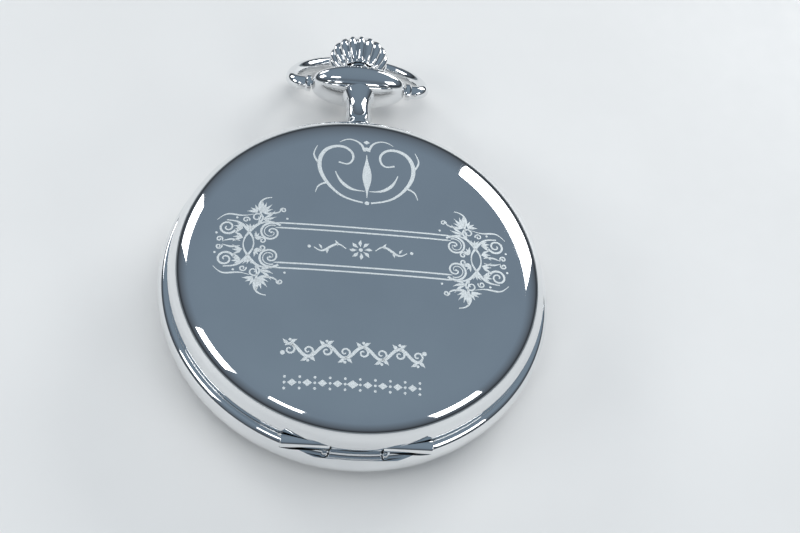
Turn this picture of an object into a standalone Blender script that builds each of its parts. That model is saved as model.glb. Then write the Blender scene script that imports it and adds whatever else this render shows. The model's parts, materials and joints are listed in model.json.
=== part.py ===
"""Hunter-case pocket watch with a quartz movement, modelled as separate bodies.

The watch lies on its back. The origin is the centre of the flat land of the
back cover, +Z points out of the front lid, +Y points at the crown and the lid
hinge is at -Y. Every size below is in millimetres and is scaled to metres
when a body is made.
"""
import math

import bmesh
import bpy
from mathutils import Vector
from mathutils.geometry import tessellate_polygon

MM = 0.001

# ---- Case -------------------------------------------------------------------
CASE_R = 23.5            # largest radius of the case band
BAND_MID_Z = 6.2         # height of the largest radius
BAND_TOP_Z = 7.85        # land that faces the lid
BAND_LOW_Z = 3.3         # land that faces the back cover
BAND_INNER_R = 21.9
FLANGE_R = 20.4          # inner edge of the flange that holds the bezel
FLANGE_LOW_Z = 7.15
LID_R = 22.4             # outer radius of the lid's side
LID_LOW_Z = 8.0
LID_TOP_Z = 13.7
LID_WALL = 0.6
BACK_LAND_R = 14.0
BACK_WALL = 0.7

# ---- Lid hinge --------------------------------------------------------------
HINGE_Y = -21.4
HINGE_Z = 7.75
KNUCKLE_R = 0.82
KNUCKLE_GAP = 0.2        # clearance that the opposite leaf keeps to a knuckle
HINGE_HALF = 8.35        # half the length of the whole hinge
LID_KNUCKLE_HALF = 2.75
CASE_KNUCKLE_START = 2.95
PIN_R = 0.32
PIN_BORE_R = 0.38
LID_RELIEF_GAP = 0.15    # room that the band gives the lid's side when it stands open
LATCH_HALF = 1.6         # half the width of the catch

# ---- Pendant, crown and bow -------------------------------------------------
PENDANT_Z = 6.0          # height of the stem axis
BULB_Y = 32.6
BULB_HALF = (6.5, 2.1, 3.6)
BULB_END_X = 6.35        # where the bulb's flat ends face the bow
NECK_R = 1.7
NECK_FLARE_R = 2.9
SHANK_R = 1.25
PENDANT_SEAT_R = 23.62   # the pendant's foot is cut to sit round the case band
PENDANT_BORE_R = 0.85
SLEEVE_R = 0.8
SLEEVE_BORE_R = 0.5
STEM_R = 0.45
CROWN_BASE_Y = 35.2
CROWN_TIP_Y = 39.9
CROWN_R = 4.15
CROWN_FLUTES = 18
CROWN_FLUTE_DEPTH = 0.4
PENDANT_TUBE_R = 1.5
PENDANT_TUBE_END_Y = 34.95
CROWN_CAVITY_R = 1.75     # the crown slides over the end of the pendant's tube
BOW_RING_R = 9.1         # centre line of the ring
BOW_RING_S = 1.5         # how far the ring's centre lies beyond the pivots
BOW_WIRE_R = 0.9
BOW_BOSS_R = 1.15
BOW_BOSS_X = (6.55, 7.2)
BOW_PIN_R = 0.5
BOW_PIN_TIP_X = 5.4
BOW_PIN_BORE_R = 0.56
BOW_REST_DEG = -28.0     # the bow hangs back until it almost meets the table

# ---- Front of the movement --------------------------------------------------
BEZEL_R = 20.3
CRYSTAL_R = 18.9
DIAL_R = 20.2
DIAL_Z = (6.75, 7.1)
HOUR_HAND_Z = (7.3, 7.48)
MINUTE_HAND_Z = (7.75, 7.92)
SECOND_HAND_Z = (8.15, 8.28)

# ---- Movement ---------------------------------------------------------------
PLATE_R = 13.0
PLATE_Z = (5.0, 6.62)
RECESS_R = 9.2
RECESS_Z = 5.62
HOLDER_R = 21.6
MOTION_MODULE = 0.14     # hour wheel and minute pinion
MOTION_DISTANCE = 3.5
CANNON_MODULE = 2 * MOTION_DISTANCE / (12 + 36)
MINUTE_AXIS = (2.475, 2.475)
SETTING_X = 2.1
CENTRE_MODULE = 0.1
THIRD_DISTANCE = CENTRE_MODULE * (60 + 8) / 2
SECOND_MODULE = 2 * THIRD_DISTANCE / (48 + 6)
THIRD_ANGLE = math.radians(200)
IDLER_DISTANCE = 1.8
IDLER_MODULE = 2 * IDLER_DISTANCE / (30 + 6)
IDLER_ANGLE = math.radians(290)
ROTOR_MODULE = 0.08
ROTOR_DISTANCE = ROTOR_MODULE * (36 + 6) / 2
BATTERY_XY = (-6.2, 5.8)
BATTERY_R = 3.4

SHELL_SEGMENTS = 48
SMALL_SEGMENTS = 16

MATERIALS = {
    "chrome": ((0.78, 0.79, 0.80), 0.06, 1.0),
    "polished_steel": ((0.62, 0.63, 0.65), 0.18, 1.0),
    "spring_steel": ((0.42, 0.44, 0.48), 0.3, 1.0),
    "brass": ((0.78, 0.58, 0.24), 0.28, 1.0),
    "dial_white": ((0.88, 0.87, 0.83), 0.45, 0.0),
    "hand_black": ((0.02, 0.02, 0.025), 0.25, 0.2),
    "crystal_clear": ((0.93, 0.95, 0.96), 0.03, 0.0),
    "holder_plastic": ((0.80, 0.80, 0.76), 0.5, 0.0),
    "board_green": ((0.05, 0.22, 0.12), 0.5, 0.0),
    "copper_wire": ((0.66, 0.28, 0.12), 0.35, 1.0),
    "chip_black": ((0.03, 0.03, 0.035), 0.55, 0.0),
    "battery_can": ((0.66, 0.66, 0.64), 0.3, 1.0),
}


def clear_scene():
    """Remove every object that is in the scene."""
    for obj in list(bpy.data.objects):
        bpy.data.objects.remove(obj, do_unlink=True)


def material(name, finish):
    """Make one object's own Principled material."""
    colour, roughness, metallic = MATERIALS[finish]
    mat = bpy.data.materials.new(f"{name}_{finish}")
    mat.use_nodes = True
    shader = mat.node_tree.nodes["Principled BSDF"]
    shader.inputs["Base Color"].default_value = (*colour, 1.0)
    shader.inputs["Roughness"].default_value = roughness
    shader.inputs["Metallic"].default_value = metallic
    return mat


def body(name, points, faces, finish, origin=(0, 0, 0)):
    """Add one closed body from points in millimetres, with its own origin."""
    start = Vector(origin)
    mesh = bpy.data.meshes.new(name)
    mesh.from_pydata([(Vector(p) - start) * MM for p in points], [], faces)
    bm = bmesh.new()
    bm.from_mesh(mesh)
    bmesh.ops.remove_doubles(bm, verts=bm.verts, dist=1e-7)
    bmesh.ops.dissolve_degenerate(bm, edges=bm.edges, dist=1e-8)
    bmesh.ops.recalc_face_normals(bm, faces=bm.faces)
    bm.to_mesh(mesh)
    bm.free()
    mesh.shade_smooth()
    mesh.set_sharp_from_angle(angle=math.radians(35))
    mesh.materials.append(material(name, finish))
    obj = bpy.data.objects.new(name, mesh)
    obj.location = start * MM
    bpy.context.scene.collection.objects.link(obj)
    return obj


def combine(target, tool, operation):
    """Cut a hidden tool body from the target, or join it to the target."""
    tool.hide_render = True
    tool.display_type = "WIRE"
    mod = target.modifiers.new(tool.name, "BOOLEAN")
    mod.operation = operation
    mod.object = tool
    mod.solver = "EXACT"


def cut(target, tool):
    """Remove the tool's volume from the target."""
    combine(target, tool, "DIFFERENCE")


def join(target, tool):
    """Add the tool's volume to the target."""
    combine(target, tool, "UNION")


def loft_faces(rings, count, closed):
    """Faces between rings of `count` points; open lofts get an end cap."""
    faces = []
    pairs = rings if closed else rings - 1
    for ring in range(pairs):
        near = ring * count
        far = ((ring + 1) % rings) * count
        for k in range(count):
            nxt = (k + 1) % count
            faces.append((near + k, near + nxt, far + nxt, far + k))
    if not closed:
        faces.append(tuple(range(count)))
        faces.append(tuple(range((rings - 1) * count, rings * count)))
    return faces


def circle(radius, count, turn=0.0):
    """Points of a circle in its own plane."""
    step = 2 * math.pi / count
    return [(radius * math.cos(k * step + turn), radius * math.sin(k * step + turn))
            for k in range(count)]


def place_z(flat, z, centre=(0.0, 0.0)):
    """Lay plane points at height z."""
    return [(x + centre[0], y + centre[1], z) for x, y in flat]


def place_y(flat, y, z=PENDANT_Z):
    """Stand plane points across the stem axis at distance y."""
    return [(a, y, b + z) for a, b in flat]


def place_x(flat, x, centre):
    """Stand plane points across an axis along X."""
    return [(x, a + centre[0], b + centre[1]) for a, b in flat]


def turned(name, profile, finish, segments=SHELL_SEGMENTS, centre=(0.0, 0.0), origin=None):
    """Turn a closed profile of (radius, height) points about a Z axis."""
    points = []
    for radius, z in profile:
        points += place_z(circle(radius, segments), z, centre)
    on_axis = profile[0][0] == 0 and profile[-1][0] == 0
    faces = loft_faces(len(profile), segments, closed=not on_axis)
    if on_axis:
        faces = faces[:-2]
    return body(name, points, faces, finish, origin or (*centre, 0))


def rod(name, stations, finish, placer, segments=SMALL_SEGMENTS, origin=(0, 0, 0), turn=0.0):
    """Loft circles of given radius at stations along an axis."""
    points = []
    for radius, place in stations:
        points += placer(circle(radius, segments, turn), place)
    return body(name, points, loft_faces(len(stations), segments, False), finish, origin)


def tube(name, outer, inner, start, end, finish, placer, segments=SMALL_SEGMENTS,
         origin=(0, 0, 0)):
    """A straight tube between two stations along an axis."""
    points = []
    for radius, place in ((outer, start), (outer, end), (inner, end), (inner, start)):
        points += placer(circle(radius, segments), place)
    return body(name, points, loft_faces(4, segments, True), finish, origin)


def plate(name, outline, holes, low, high, finish, origin=(0, 0, 0)):
    """Extrude a flat outline with holes between two heights."""
    loops = [outline] + holes
    flat = [p for loop in loops for p in loop]
    count = len(flat)
    triangles = tessellate_polygon([[Vector((x, y, 0)) for x, y in loop] for loop in loops])
    points = [(x, y, low) for x, y in flat] + [(x, y, high) for x, y in flat]
    faces = [tuple(t) for t in triangles]
    faces += [tuple(k + count for k in reversed(t)) for t in triangles]
    start = 0
    for loop in loops:
        size = len(loop)
        for k in range(size):
            a = start + k
            b = start + (k + 1) % size
            faces.append((a, b, b + count, a + count))
        start += size
    return body(name, points, faces, finish, origin)


def block(name, low, high, finish="polished_steel"):
    """A box between two corners."""
    outline = [(low[0], low[1]), (high[0], low[1]), (high[0], high[1]), (low[0], high[1])]
    return plate(name, outline, [], low[2], high[2], finish)


def shifted(loop, centre):
    """Move a flat loop to a centre."""
    return [(x + centre[0], y + centre[1]) for x, y in loop]


def polar(distance, angle, centre=(0.0, 0.0)):
    """The point at a distance and angle from a centre."""
    return (centre[0] + distance * math.cos(angle), centre[1] + distance * math.sin(angle))


def gear_loop(teeth, module, turn=0.0):
    """Outline of a small watch gear: narrow pointed teeth on a round root."""
    pitch_r = teeth * module / 2
    step = 2 * math.pi / teeth
    loop = []
    for k in range(teeth):
        mid = k * step + turn
        loop.append(polar(pitch_r - 0.95 * module, mid - 0.2 * step))
        loop.append(polar(pitch_r + 0.7 * module, mid))
        loop.append(polar(pitch_r - 0.95 * module, mid + 0.2 * step))
    return loop


def round_loop(loop):
    """The same number of points as a flat loop, moved onto a circle of radius 1."""
    return [(x / math.hypot(x, y), y / math.hypot(x, y)) for x, y in loop]


def scaled(loop, radius):
    """A flat loop about the origin, scaled by a radius."""
    return [(radius * x, radius * y) for x, y in loop]


def toothed_arbor(name, teeth, module, centre, stations, finish, turn=0.0):
    """An arbor with a cut pinion; a station is (z, radius) or (z, None) for teeth."""
    gear = gear_loop(teeth, module, turn)
    unit = round_loop(gear)
    points = []
    for z, radius in stations:
        flat = gear if radius is None else scaled(unit, radius)
        points += place_z(flat, z, centre)
    faces = loft_faces(len(stations), len(gear), False)
    return body(name, points, faces, finish, (*centre, 0))


def wheel(name, teeth, module, centre, z, bore, finish="brass", turn=0.0):
    """A toothed disc with a round bore."""
    outline = shifted(gear_loop(teeth, module, turn), centre)
    hole = shifted(circle(bore, 12), centre)
    return plate(name, outline, [hole], z[0], z[1], finish, (*centre, 0))


def mesh_turn(teeth, line_angle, other_teeth, other_turn, other_line):
    """Turn a gear so that a gap faces the other gear's tooth on the centre line.

    line_angle points from this gear to the other one, other_line points back.
    """
    other_step = 2 * math.pi / other_teeth
    phase = ((other_line - other_turn) / other_step) % 1.0
    step = 2 * math.pi / teeth
    return line_angle + step * (0.5 + phase)


# ---- Case pieces ------------------------------------------------------------
def knuckle(name, start, end, radius=KNUCKLE_R):
    """A round piece of the hinge between two places along its axis.

    Its facets are turned by an amount of their own, so that pieces of different radius
    don't share edges where they are cut from or joined to the same ring.
    """
    centre = (HINGE_Y, HINGE_Z)
    return rod(name, [(radius, start), (radius, end)], "chrome",
               lambda flat, x: place_x(flat, x, centre), segments=20, turn=radius / 10)


def make_case_band():
    """The bulging ring that carries hinge, pendant, bezel and back cover."""
    profile = [(22.8, BAND_TOP_Z), (23.15, 7.55), (23.45, 6.9), (CASE_R, BAND_MID_Z),
               (23.4, 5.0), (23.05, 3.85), (22.7, BAND_LOW_Z),
               (BAND_INNER_R, BAND_LOW_Z), (BAND_INNER_R, FLANGE_LOW_Z),
               (FLANGE_R, FLANGE_LOW_Z), (FLANGE_R, BAND_TOP_Z)]
    band = turned("case_band", profile, "chrome")
    opened_lid_z = HINGE_Z - HINGE_Y
    relief_r = LID_R + LID_RELIEF_GAP
    relief = rod("relief_tool", [(relief_r, -CASE_R - 2.5), (relief_r, HINGE_Y - 0.1)], "chrome",
                 lambda flat, y: place_y(flat, y, opened_lid_z), segments=96, turn=0.012)
    cut(band, relief)
    chamfer = [(-24.2, 7.6), (-24.2, 5.0), (-23.52, 5.3), (-22.95, 6.5), (-22.95, 7.6)]
    points = [(-6.0, y, z) for y, z in chamfer] + [(6.0, y, z) for y, z in chamfer]
    cut(band, body("chamfer_tool", points, loft_faces(2, len(chamfer), False), "chrome"))
    cut(band, knuckle("lid_knuckle_room_tool", -CASE_KNUCKLE_START, CASE_KNUCKLE_START,
                      KNUCKLE_R + KNUCKLE_GAP))
    join(band, knuckle("left_knuckle_tool", -HINGE_HALF, -CASE_KNUCKLE_START))
    join(band, knuckle("right_knuckle_tool", CASE_KNUCKLE_START, HINGE_HALF))
    bore_end = HINGE_HALF + 0.65
    cut(band, knuckle("case_pin_bore_tool", -bore_end, bore_end, PIN_BORE_R))
    shank_r = SHANK_R + 0.05
    cut(band, rod("shank_bore_tool", [(shank_r, 20.5), (shank_r, 25.0)], "chrome", place_y))
    slot_half = LATCH_HALF + 0.25
    cut(band, block("latch_slot_tool", (-slot_half, 19.5, 7.0), (slot_half, 21.85, 8.4)))
    return band


def lid_profile():
    """Closed section of the lid: crown of the dome, shoulder, side, and back inside."""
    outer = [(0, LID_TOP_Z), (9.0, 13.58), (15.0, 13.27), (19.0, 12.8), (20.9, 12.0),
             (22.0, 10.7), (22.36, 9.3), (LID_R, LID_LOW_Z)]
    inner = [(LID_R - LID_WALL, LID_LOW_Z), (21.73, 9.3), (21.3, 10.5), (20.3, 11.55),
             (18.6, 12.2), (14.8, 12.67), (0, 13.1)]
    return outer + inner


def make_front_lid():
    """The domed cover with its middle hinge knuckle."""
    lid = turned("front_lid", lid_profile(), "chrome", origin=(0, HINGE_Y, HINGE_Z))
    room = KNUCKLE_R + KNUCKLE_GAP
    inner_end = LID_KNUCKLE_HALF + 0.05
    cut(lid, knuckle("left_room_tool", -HINGE_HALF - 0.25, -inner_end, room))
    cut(lid, knuckle("right_room_tool", inner_end, HINGE_HALF + 0.25, room))
    join(lid, knuckle("lid_knuckle_tool", -LID_KNUCKLE_HALF, LID_KNUCKLE_HALF))
    bore_end = LID_KNUCKLE_HALF + 0.75
    cut(lid, knuckle("lid_pin_bore_tool", -bore_end, bore_end, PIN_BORE_R))
    return lid


def make_back_cover():
    """The snap-on back with its flat land and inner lip."""
    profile = [(0, BACK_WALL), (BACK_LAND_R, BACK_WALL), (18.6, 1.25), (20.9, 2.3),
               (21.15, 4.3), (21.6, 4.3), (21.78, 3.12), (22.62, 3.1), (22.2, 2.1),
               (20.6, 1.05), (17.6, 0.35), (BACK_LAND_R, 0.0), (0, 0.0)]
    turned("back_cover", profile, "chrome")


def arc_strip(name, inner, outer, start_deg, end_deg, low, high, steps=10):
    """A flat curved spring leaf."""
    angles = [math.radians(start_deg + (end_deg - start_deg) * k / steps)
              for k in range(steps + 1)]
    outline = [polar(outer, a) for a in angles] + [polar(inner, a) for a in reversed(angles)]
    return plate(name, outline, [], low, high, "spring_steel")


def make_hinge_and_springs():
    """Hinge pin, the catch at the crown side and the leaf that lifts the lid."""
    centre = (HINGE_Y, HINGE_Z)
    rod("hinge_pin", [(PIN_R, -HINGE_HALF), (PIN_R, HINGE_HALF)], "polished_steel",
        lambda flat, x: place_x(flat, x, centre), origin=(0, HINGE_Y, HINGE_Z))
    latch = arc_strip("lid_latch", 20.7, 21.15, 57, 123, 6.6, 6.98)
    join(latch, block("latch_post_tool", (-LATCH_HALF, 20.75, 6.7), (LATCH_HALF, 21.0, 8.8)))
    join(latch, block("latch_hook_tool", (-LATCH_HALF, 20.9, 8.45), (LATCH_HALF, 21.25, 8.8)))
    arc_strip("lid_spring", 20.7, 21.2, 186, 242, 6.6, 6.98)


# ---- Front pieces -----------------------------------------------------------
def make_bezel_and_crystal():
    """The ring inside the lid and the domed crystal that it holds."""
    ring = [(BEZEL_R, 8.9), (BEZEL_R, 7.22), (18.6, 7.22), (18.3, 8.4),
            (CRYSTAL_R + 0.08, 8.42), (CRYSTAL_R + 0.08, 9.2), (19.6, 9.4)]
    turned("bezel_ring", ring, "polished_steel")
    glass = [(0, 10.9), (9.0, 10.72), (15.0, 10.15), (CRYSTAL_R, 9.1), (CRYSTAL_R, 8.5),
             (18.0, 8.5), (15.0, 9.4), (9.0, 10.0), (0, 10.2)]
    turned("crystal", glass, "crystal_clear", segments=36)


def leaf_loop(length, tail, width, hub_r):
    """Outline of a hand: a hub, a long pointed leaf and a short tail."""
    hub = [polar(hub_r, math.radians(a)) for a in (20, -20, -55)]
    right = hub + [(width * 0.35, -hub_r - 0.2), (width * 0.3, -tail)]
    left = [(-x, y) for x, y in reversed(right)]
    tip = [(-width * 0.35, hub_r + 0.3), (-width * 0.5, length * 0.55), (0, length),
           (width * 0.5, length * 0.55), (width * 0.35, hub_r + 0.3)]
    return right + left + tip


def make_dial_and_hands():
    """Dial, hour hand, minute hand and centre seconds hand."""
    plate("dial", circle(DIAL_R, SHELL_SEGMENTS), [circle(1.35, 12)], *DIAL_Z, "dial_white")
    # name, length, tail, leaf width, hub radius, bore radius, heights, clock angle
    hands = (("hour_hand", 10.0, 2.4, 1.5, 1.75, 1.2, HOUR_HAND_Z, -60),
             ("minute_hand", 15.2, 3.0, 1.2, 1.4, 0.76, MINUTE_HAND_Z, 60),
             ("second_hand", 16.4, 4.2, 0.5, 0.8, 0.28, SECOND_HAND_Z, 180))
    for name, length, tail, width, hub_r, bore, z, clock_deg in hands:
        turn = -math.radians(clock_deg)
        cos_t = math.cos(turn)
        sin_t = math.sin(turn)
        loop = [(x * cos_t - y * sin_t, x * sin_t + y * cos_t)
                for x, y in leaf_loop(length, tail, width, hub_r)]
        plate(name, loop, [circle(bore, 12)], z[0], z[1], "hand_black")


# ---- Pendant, crown and bow -------------------------------------------------
def make_pendant():
    """Neck, cross bulb and the tube that the stem runs in."""
    neck = [(NECK_FLARE_R + 0.25, 22.4), (NECK_FLARE_R, 23.7), (2.25, 25.2), (NECK_R, 27.6),
            (NECK_R + 0.15, 29.8), (2.6, 31.6), (2.3, 33.4), (PENDANT_TUBE_R, 34.3),
            (PENDANT_TUBE_R, PENDANT_TUBE_END_Y)]
    pendant = rod("pendant", neck, "chrome", place_y, segments=24)
    seat = [(0, 0.0), (PENDANT_SEAT_R, 0.0), (PENDANT_SEAT_R, 12.0), (0, 12.0)]
    cut(pendant, turned("pendant_seat_tool", seat, "chrome", segments=SHELL_SEGMENTS * 2))
    points = []
    slices = 10
    for k in range(slices + 1):
        x = BULB_END_X * math.cos(math.pi * k / slices)
        size = math.sqrt(max(0.0, 1 - (x / BULB_HALF[0]) ** 2)) ** 0.85
        points += [(x, BULB_Y + size * BULB_HALF[1] * b, PENDANT_Z + size * BULB_HALF[2] * a)
                   for a, b in circle(1.0, 16)]
    join(pendant, body("bulb_tool", points, loft_faces(slices + 1, 16, False), "chrome"))
    join(pendant, rod("shank_tool", [(SHANK_R, 21.95), (SHANK_R, 26.0)], "chrome", place_y))
    cut(pendant, rod("stem_bore_tool", [(PENDANT_BORE_R, 21.0), (PENDANT_BORE_R, 36.5)],
                     "chrome", place_y))
    pivot = (BULB_Y, PENDANT_Z)
    for side in (-1, 1):
        cut(pendant, rod(f"pivot_bore_tool{side}",
                         [(BOW_PIN_BORE_R, side * 5.2), (BOW_PIN_BORE_R, side * 7.0)],
                         "chrome", lambda flat, x: place_x(flat, x, pivot)))


def make_crown():
    """Fluted onion crown, hollow underneath, with a socket for the stem."""
    samples = CROWN_FLUTES * 3

    def ring(radius, y, depth):
        flat = []
        for k in range(samples):
            groove = depth if k % 3 == 0 else 0.0
            flat.append(polar(radius - groove, 2 * math.pi * k / samples))
        return place_y(flat, y)

    shape = [(1.2, CROWN_TIP_Y, 0.0), (3.2, 39.3, 0.2), (CROWN_R, 37.9, CROWN_FLUTE_DEPTH),
             (3.9, 36.6, CROWN_FLUTE_DEPTH), (2.85, CROWN_BASE_Y, 0.2),
             (CROWN_CAVITY_R, CROWN_BASE_Y, 0.0), (CROWN_CAVITY_R, 36.4, 0.0), (0.52, 36.4, 0.0),
             (0.52, 38.2, 0.0)]
    points = []
    for radius, y, depth in shape:
        points += ring(radius, y, depth)
    body("crown", points, loft_faces(len(shape), samples, False), "chrome",
         (0, CROWN_BASE_Y, PENDANT_Z))


def make_stem():
    """Stem with its setting pinion, and the sleeve that turns with it."""
    gear = gear_loop(8, 0.1)
    unit = round_loop(gear)
    shape = [(None, 5.2), (None, 5.7), (0.24, 5.7), (0.24, 12.4), (0.32, 12.4), (0.32, 21.0),
             (STEM_R, 21.0), (STEM_R, 38.1)]
    points = []
    for radius, y in shape:
        flat = gear if radius is None else scaled(unit, radius)
        points += place_y(flat, y)
    body("stem", points, loft_faces(len(shape), len(gear), False), "polished_steel",
         (0, CROWN_BASE_Y, PENDANT_Z))
    tube("setting_sleeve", SLEEVE_R, SLEEVE_BORE_R, 24.5, 33.2, "brass", place_y,
         origin=(0, CROWN_BASE_Y, PENDANT_Z))


def bow_stations():
    """Centre line and radius of the right half of the bow, then the left half."""
    fillet_r = BOW_RING_S
    straight = BOW_RING_R - fillet_r
    boss_in, boss_out = BOW_BOSS_X
    half = [((BOW_PIN_TIP_X, 0.0), BOW_PIN_R, 0.0), ((boss_in, 0.0), BOW_PIN_R, 0.0),
            ((boss_in, 0.0), BOW_BOSS_R, 0.0), ((boss_out, 0.0), BOW_BOSS_R, 0.0),
            ((straight - 0.1, 0.0), BOW_WIRE_R, 0.0)]
    for deg in (30, 60, 90):
        turn = math.radians(deg)
        half.append(((straight + fillet_r * math.sin(turn), fillet_r * (1 - math.cos(turn))),
                     BOW_WIRE_R, turn))
    steps = 9
    for k in range(1, steps):
        turn = math.radians(90 * k / steps)
        half.append(((BOW_RING_R * math.cos(turn), BOW_RING_S + BOW_RING_R * math.sin(turn)),
                     BOW_WIRE_R, math.radians(90) + turn))
    top = [((0.0, BOW_RING_S + BOW_RING_R), BOW_WIRE_R, math.radians(180))]
    other = [((-x, s), r, 2 * math.pi - turn) for (x, s), r, turn in reversed(half)]
    return half + top + other


def make_bow():
    """The ring that swings on the bulb, hanging back at rest."""
    sides = 12
    tilt = math.radians(BOW_REST_DEG)
    points = []
    stations = bow_stations()
    for (x, s), radius, turn in stations:
        for a, b in circle(radius, sides):
            across_x = x - a * math.sin(turn)
            across_s = s + a * math.cos(turn)
            points.append((across_x,
                           BULB_Y + across_s * math.cos(tilt) - b * math.sin(tilt),
                           PENDANT_Z + across_s * math.sin(tilt) + b * math.cos(tilt)))
    body("bow", points, loft_faces(len(stations), sides, False), "chrome",
         (0, BULB_Y, PENDANT_Z))


# ---- Movement ---------------------------------------------------------------
PILLARS = {"bridge_screw_1": ((-6.3, -3.9), 3.1), "bridge_screw_2": ((-1.9, 3.6), 3.1),
           "bridge_screw_3": ((3.6, 1.9), 3.1), "clamp_screw": ((-1.7, 6.4), 2.25)}


def make_plates():
    """Main plate with its pillars, train bridge, and the ring that centres them."""
    section = [(PLATE_R, PLATE_Z[1]), (PLATE_R, PLATE_Z[0]), (0.82, PLATE_Z[0]),
               (0.82, RECESS_Z), (RECESS_R, RECESS_Z), (RECESS_R, PLATE_Z[1])]
    main = turned("main_plate", section, "brass", segments=32)
    cut(main, block("stem_slot_tool", (-0.7, 8.0, 5.4), (0.7, 14.0, 7.0)))
    for name, (centre, low) in PILLARS.items():
        join(main, rod(f"{name}_pillar_tool", [(0.8, low), (0.8, PLATE_Z[0] + 0.3)], "brass",
                       lambda flat, z, c=centre: place_z(flat, z, c)))
        cut(main, rod(f"{name}_bore_tool", [(0.37, 1.5), (0.37, 5.45)], "brass",
                      lambda flat, z, c=centre: place_z(flat, z, c)))
    outline = [(-7.4, -5.0), (3.4, -5.0), (4.8, 0.6), (4.8, 3.0), (-0.8, 4.8), (-3.0, 4.6),
               (-3.3, 2.2), (-7.4, 0.5)]
    holes = [shifted(circle(0.37, 12), PILLARS[f"bridge_screw_{k}"][0]) for k in (1, 2, 3)]
    plate("train_bridge", outline, holes, 2.7, 3.03, "polished_steel")
    ring = [(HOLDER_R, 6.5), (HOLDER_R, 4.5), (20.8, 4.5), (20.8, 2.6), (19.6, 2.6), (19.6, 5.3),
            (14.5, 5.3), (14.5, 2.6), (13.3, 2.6), (13.3, 6.5)]
    holder = turned("movement_holder", ring, "holder_plastic", segments=32)
    cut(holder, block("holder_slot_tool", (-0.9, 12.0, 5.0), (0.9, 23.0, 7.0)))


def make_screws():
    """One screw for each pillar: a flat round head below and a plain shank."""
    for name, (centre, low) in PILLARS.items():
        seat = 2.65 if low > 3 else 1.9
        rod(name, [(0.62, seat - 0.35), (0.62, seat), (0.31, seat), (0.31, 5.35)],
            "polished_steel", lambda flat, z, c=centre: place_z(flat, z, c), segments=12,
            origin=(*centre, seat))


def make_motion_works():
    """Cannon pinion, minute wheel, hour wheel and setting wheel under the dial."""
    tooth_z = (5.75, 6.1)
    line = math.atan2(MINUTE_AXIS[1], MINUTE_AXIS[0])
    gear = gear_loop(12, CANNON_MODULE)
    unit = round_loop(gear)
    shape = [(0.7, 4.45), (0.7, tooth_z[0]), (None, tooth_z[0]), (None, tooth_z[1]),
             (0.7, tooth_z[1]), (0.7, 7.97), (0.3, 7.97), (0.3, 4.45)]
    points = []
    for radius, z in shape:
        flat = gear if radius is None else scaled(unit, radius)
        points += place_z(flat, z)
    body("cannon_pinion", points, loft_faces(len(shape), len(gear), True), "polished_steel")
    minute_turn = mesh_turn(36, line + math.pi, 12, 0.0, line)
    wheel("minute_wheel", 36, CANNON_MODULE, MINUTE_AXIS, tooth_z, 0.3, turn=minute_turn)
    toothed_arbor("minute_pinion", 10, MOTION_MODULE, MINUTE_AXIS,
                  [(5.67, 0.27), (6.14, 0.27), (6.14, None), (6.46, None)], "polished_steel")
    hour_turn = mesh_turn(40, line, 10, 0.0, line + math.pi)
    hour = wheel("hour_wheel", 40, MOTION_MODULE, (0.0, 0.0), (6.2, 6.45), 0.8, turn=hour_turn)
    join(hour, tube("hour_pipe_tool", 1.13, 0.8, 6.3, 7.5, "brass", place_z, segments=12))
    reach = CANNON_MODULE * (36 + 20) / 2
    across = SETTING_X - MINUTE_AXIS[0]
    centre = (SETTING_X, MINUTE_AXIS[1] + math.sqrt(reach ** 2 - across ** 2))
    line = math.atan2(centre[1] - MINUTE_AXIS[1], centre[0] - MINUTE_AXIS[0])
    turn = mesh_turn(20, line + math.pi, 36, minute_turn, line)
    wheel("setting_wheel", 20, CANNON_MODULE, centre, tooth_z, 0.3, turn=turn)


def make_train():
    """Seconds arbor, third wheel, idler and rotor below the main plate."""
    wheel("centre_wheel", 60, CENTRE_MODULE, (0.0, 0.0), (4.55, 4.8), 0.72)
    third = polar(THIRD_DISTANCE, THIRD_ANGLE)
    back = THIRD_ANGLE + math.pi
    turn = mesh_turn(8, back, 60, 0.0, THIRD_ANGLE)
    toothed_arbor("third_pinion", 8, CENTRE_MODULE, third,
                  [(3.15, 0.22), (4.5, 0.22), (4.5, None), (4.88, None)], "polished_steel", turn)
    toothed_arbor("second_arbor", 6, SECOND_MODULE, (0.0, 0.0),
                  [(3.5, 0.24), (4.02, 0.24), (4.02, None), (4.4, None), (4.4, 0.24),
                   (8.32, 0.24)], "polished_steel")
    turn = mesh_turn(48, back, 6, 0.0, THIRD_ANGLE)
    wheel("third_wheel", 48, SECOND_MODULE, third, (4.1, 4.35), 0.25, turn=turn)
    wheel("second_wheel", 30, IDLER_MODULE, (0.0, 0.0), (3.65, 3.85), 0.27)
    idler = polar(IDLER_DISTANCE, IDLER_ANGLE)
    back = IDLER_ANGLE + math.pi
    turn = mesh_turn(6, back, 30, 0.0, IDLER_ANGLE)
    toothed_arbor("idler_pinion", 6, IDLER_MODULE, idler,
                  [(3.1, 0.15), (3.55, 0.15), (3.55, None), (3.95, None)], "polished_steel", turn)
    wheel("idler_wheel", 36, ROTOR_MODULE, idler, (3.2, 3.4), 0.18)
    rotor = polar(ROTOR_DISTANCE, IDLER_ANGLE, idler)
    turn = mesh_turn(6, back, 36, 0.0, IDLER_ANGLE)
    toothed_arbor("rotor_pinion", 6, ROTOR_MODULE, rotor,
                  [(3.12, None), (3.5, None), (3.5, 0.14), (4.7, 0.14)], "polished_steel", turn)
    tube("rotor_magnet", 0.7, 0.17, 3.62, 4.3, "chip_black",
         lambda flat, z: place_z(flat, z, rotor), origin=(*rotor, 0))
    return rotor


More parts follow.
